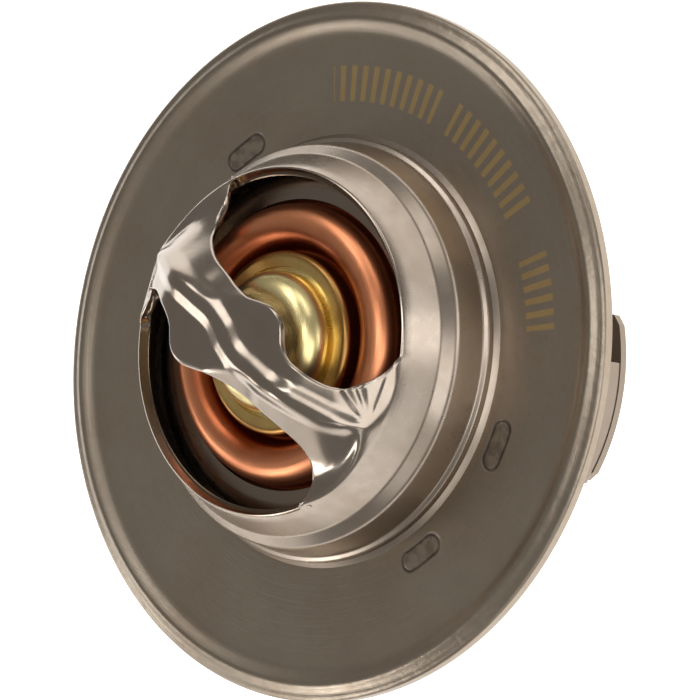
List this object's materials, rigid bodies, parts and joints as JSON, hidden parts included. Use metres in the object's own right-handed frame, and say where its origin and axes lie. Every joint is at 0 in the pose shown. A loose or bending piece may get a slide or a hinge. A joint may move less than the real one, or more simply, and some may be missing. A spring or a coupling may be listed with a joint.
{
  "type": "engine thermostat",
  "caption": "Flanged engine thermostat: dished cover with a twisted bridge strap over a wax-driven copper plate valve, conical spring and stirrup below.",
  "frame": {"origin": "centre of the flange's underside, on the valve's axis", "axes": "+Z along the valve's axis, up through the bridge; +X along the bridge strap; the valve opens towards -Z"},
  "size_m": [0.067, 0.067, 0.0426],
  "materials": {
    "cover_steel": "dull satin flange with bright drawn dome and strap",
    "ring_steel": "satin drawn steel",
    "frame_steel": "satin sheet steel",
    "copper": "bare copper, bright on the roll",
    "guide_brass": "turned brass",
    "cup_brass": "drawn brass, golden brown at the crimp",
    "wax": "filled wax",
    "boot_rubber": "moulded rubber",
    "washer_plastic": "plain white plastic",
    "piston_steel": "ground steel",
    "spring_steel": "drawn spring wire"
  },
  "bodies": {
    "housing": {"flange_bridge": "cover_steel", "seat_ring": "ring_steel", "lower_frame": "frame_steel", "piston": "piston_steel", "main_spring": "spring_steel"},
    "valve": {"valve_plate": "copper", "wax_cup": "cup_brass", "wax_charge": "wax", "rubber_boot": "boot_rubber", "backup_washer": "washer_plastic", "piston_guide": "guide_brass"}
  },
  "joints": [
    {"name": "valve_slide", "type": "slide", "parent": "housing", "child": "valve", "axis": [0, 0, -1], "range_m": [0, 0.008], "stiffness_N_per_m": 3000, "springref_m": -0.01, "deforming": ["main_spring"]}
  ]
}
